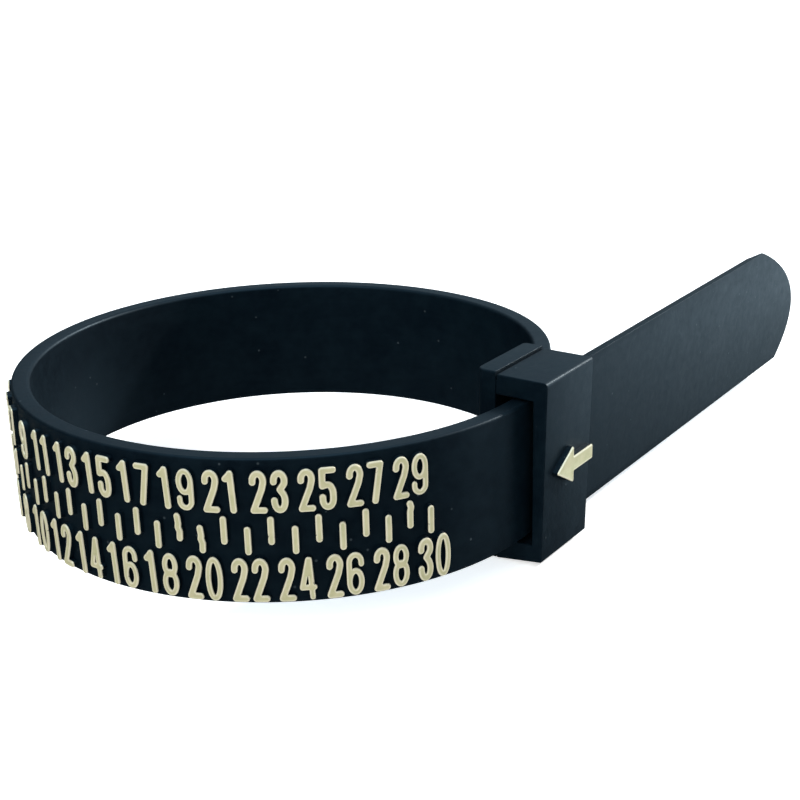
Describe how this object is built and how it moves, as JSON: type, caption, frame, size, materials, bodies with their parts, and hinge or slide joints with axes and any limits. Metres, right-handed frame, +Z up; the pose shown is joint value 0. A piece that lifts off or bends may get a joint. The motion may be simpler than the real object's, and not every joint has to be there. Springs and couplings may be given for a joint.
{
  "type": "belt ring sizer",
  "caption": "Moulded plastic finger-measuring belt: a strap with raised gold size numbers runs from a root plate round the finger and back through a slotted head with an arrow.",
  "frame": {"origin": "middle of the root plate's underside, the lowest face of the head, which the belt stands on", "axes": "+X along the free end, away from the loop; +Y from the head towards the finger opening; +Z up, across the strap's width"},
  "size_m": [0.0529, 0.0313, 0.0103],
  "materials": {
    "moulded_plastic": "smooth dark slate-black moulded plastic with a soft sheen and fine scuffs",
    "gold_print": "pale gold hot-stamped print on the raised numbers, marks and arrow, slightly worn at the edges"
  },
  "bodies": {
    "head": {"slot_head": "moulded_plastic", "root_plate": "moulded_plastic"},
    "strap_01": {"strap_section_01": "moulded_plastic"},
    "strap_02": {"strap_section_02": "moulded_plastic"},
    "strap_03": {"strap_section_03": "moulded_plastic"},
    "strap_04": {"strap_section_04": "moulded_plastic"},
    "strap_05": {"strap_section_05": "moulded_plastic"},
    "strap_06": {"strap_section_06": "moulded_plastic"},
    "strap_07": {"strap_section_07": "moulded_plastic"},
    "strap_08": {"strap_section_08": "moulded_plastic"},
    "strap_09": {"strap_section_09": "moulded_plastic"},
    "strap_10": {"strap_section_10": "moulded_plastic"},
    "strap_11": {"strap_section_11": "moulded_plastic"},
    "strap_12": {"strap_section_12": "moulded_plastic"},
    "strap_13": {"strap_section_13": "moulded_plastic"},
    "strap_14": {"strap_section_14": "moulded_plastic"},
    "strap_15": {"strap_section_15": "moulded_plastic"},
    "strap_16": {"strap_section_16": "moulded_plastic"},
    "strap_17": {"strap_section_17": "moulded_plastic"},
    "strap_18": {"strap_section_18": "moulded_plastic"},
    "strap_19": {"strap_section_19": "moulded_plastic"},
    "strap_20": {"strap_section_20": "moulded_plastic"},
    "free_end": {"free_end": "moulded_plastic"}
  },
  "joints": [
    {"name": "strap_bend_01", "type": "hinge", "parent": "head", "child": "strap_01", "pos_m": [0.00243, -0.00003, 0.00525], "axis": [0, 0, -1], "range_deg": [0, 3.95]},
    {"name": "strap_bend_02", "type": "hinge", "parent": "strap_01", "child": "strap_02", "pos_m": [0.0073, 0.00229, 0.00525], "axis": [0, 0, 1], "range_deg": [-2.76, 0]},
    {"name": "strap_bend_03", "type": "hinge", "parent": "strap_02", "child": "strap_03", "pos_m": [0.01067, 0.00652, 0.00525], "axis": [0, 0, 1], "range_deg": [0, 0.84]},
    {"name": "strap_bend_04", "type": "hinge", "parent": "strap_03", "child": "strap_04", "pos_m": [0.01196, 0.01178, 0.00525], "axis": [0, 0, 1], "range_deg": [0, 3.79]},
    {"name": "strap_bend_05", "type": "hinge", "parent": "strap_04", "child": "strap_05", "pos_m": [0.0112, 0.01714, 0.00525], "axis": [0, 0, 1], "range_deg": [0, 5.32]},
    {"name": "strap_bend_06", "type": "hinge", "parent": "strap_05", "child": "strap_06", "pos_m": [0.00851, 0.02184, 0.00525], "axis": [0, 0, 1], "range_deg": [0, 4.98]},
    {"name": "strap_bend_07", "type": "hinge", "parent": "strap_06", "child": "strap_07", "pos_m": [0.00428, 0.02522, 0.00525], "axis": [0, 0, 1], "range_deg": [0, 3.37]},
    {"name": "strap_bend_08", "type": "hinge", "parent": "strap_07", "child": "strap_08", "pos_m": [-0.0009, 0.02679, 0.00525], "axis": [0, 0, 1], "range_deg": [0, 1.57]},
    {"name": "strap_bend_09", "type": "hinge", "parent": "strap_08", "child": "strap_09", "pos_m": [-0.0063, 0.02634, 0.00525], "axis": [0, 0, 1], "range_deg": [0, 0.34]},
    {"name": "strap_bend_10", "type": "hinge", "parent": "strap_09", "child": "strap_10", "pos_m": [-0.01115, 0.02393, 0.00525], "axis": [0, 0, 1], "range_deg": [-0.29, 0]},
    {"name": "strap_bend_11", "type": "hinge", "parent": "strap_10", "child": "strap_11", "pos_m": [-0.01407, 0.02095, 0.00525], "axis": [0, 0, 1], "range_deg": [-0.09, 0]},
    {"name": "strap_bend_12", "type": "hinge", "parent": "strap_11", "child": "strap_12", "pos_m": [-0.01601, 0.01725, 0.00525], "axis": [0, 0, 1], "range_deg": [0, 0.95]},
    {"name": "strap_bend_13", "type": "hinge", "parent": "strap_12", "child": "strap_13", "pos_m": [-0.01681, 0.01316, 0.00525], "axis": [0, 0, 1], "range_deg": [0, 2.58]},
    {"name": "strap_bend_14", "type": "hinge", "parent": "strap_13", "child": "strap_14", "pos_m": [-0.0164, 0.009, 0.00525], "axis": [0, 0, 1], "range_deg": [0, 4.92]},
    {"name": "strap_bend_15", "type": "hinge", "parent": "strap_14", "child": "strap_15", "pos_m": [-0.01482, 0.00514, 0.00525], "axis": [0, 0, 1], "range_deg": [0, 7.7]},
    {"name": "strap_bend_16", "type": "hinge", "parent": "strap_15", "child": "strap_16", "pos_m": [-0.01219, 0.00189, 0.00525], "axis": [0, 0, 1], "range_deg": [0, 7.17]},
    {"name": "strap_bend_17", "type": "hinge", "parent": "strap_16", "child": "strap_17", "pos_m": [-0.01056, 0.00059, 0.00525], "axis": [0, 0, 1], "range_deg": [-7.81, 0]},
    {"name": "strap_bend_18", "type": "hinge", "parent": "strap_17", "child": "strap_18", "pos_m": [-0.00875, -0.00046, 0.00525], "axis": [0, 0, 1], "range_deg": [-7.92, 0]},
    {"name": "strap_bend_19", "type": "hinge", "parent": "strap_18", "child": "strap_19", "pos_m": [-0.00681, -0.00124, 0.00525], "axis": [0, 0, 1], "range_deg": [-7.9, 0]},
    {"name": "strap_bend_20", "type": "hinge", "parent": "strap_19", "child": "strap_20", "pos_m": [-0.00477, -0.00173, 0.00525], "axis": [0, 0, 1], "range_deg": [-7.86, 0]},
    {"name": "strap_bend_21", "type": "hinge", "parent": "strap_20", "child": "free_end", "pos_m": [-0.00269, -0.00192, 0.00525], "axis": [0, 0, 1], "range_deg": [-4.75, 0]}
  ],
  "couplings": [
    {"joint": "strap_bend_02", "follows": "strap_bend_01", "ratio": -0.6856},
    {"joint": "strap_bend_03", "follows": "strap_bend_01", "ratio": 0.201},
    {"joint": "strap_bend_04", "follows": "strap_bend_01", "ratio": 0.9465},
    {"joint": "strap_bend_05", "follows": "strap_bend_01", "ratio": 1.3337},
    {"joint": "strap_bend_06", "follows": "strap_bend_01", "ratio": 1.2482},
    {"joint": "strap_bend_07", "follows": "strap_bend_01", "ratio": 0.8404},
    {"joint": "strap_bend_08", "follows": "strap_bend_01", "ratio": 0.3845},
    {"joint": "strap_bend_09", "follows": "strap_bend_01", "ratio": 0.0743},
    {"joint": "strap_bend_10", "follows": "strap_bend_01", "ratio": -0.0613},
    {"joint": "strap_bend_11", "follows": "strap_bend_01", "ratio": -0.0108},
    {"joint": "strap_bend_12", "follows": "strap_bend_01", "ratio": 0.2272},
    {"joint": "strap_bend_13", "follows": "strap_bend_01", "ratio": 0.6393},
    {"joint": "strap_bend_14", "follows": "strap_bend_01", "ratio": 1.2323},
    {"joint": "strap_bend_15", "follows": "strap_bend_01", "ratio": 1.9367},
    {"joint": "strap_bend_16", "follows": "strap_bend_01", "ratio": 1.8035},
    {"joint": "strap_bend_17", "follows": "strap_bend_01", "ratio": -1.9642},
    {"joint": "strap_bend_18", "follows": "strap_bend_01", "ratio": -1.9932},
    {"joint": "strap_bend_19", "follows": "strap_bend_01", "ratio": -1.9864},
    {"joint": "strap_bend_20", "follows": "strap_bend_01", "ratio": -1.976},
    {"joint": "strap_bend_21", "follows": "strap_bend_01", "ratio": -1.1901}
  ]
}
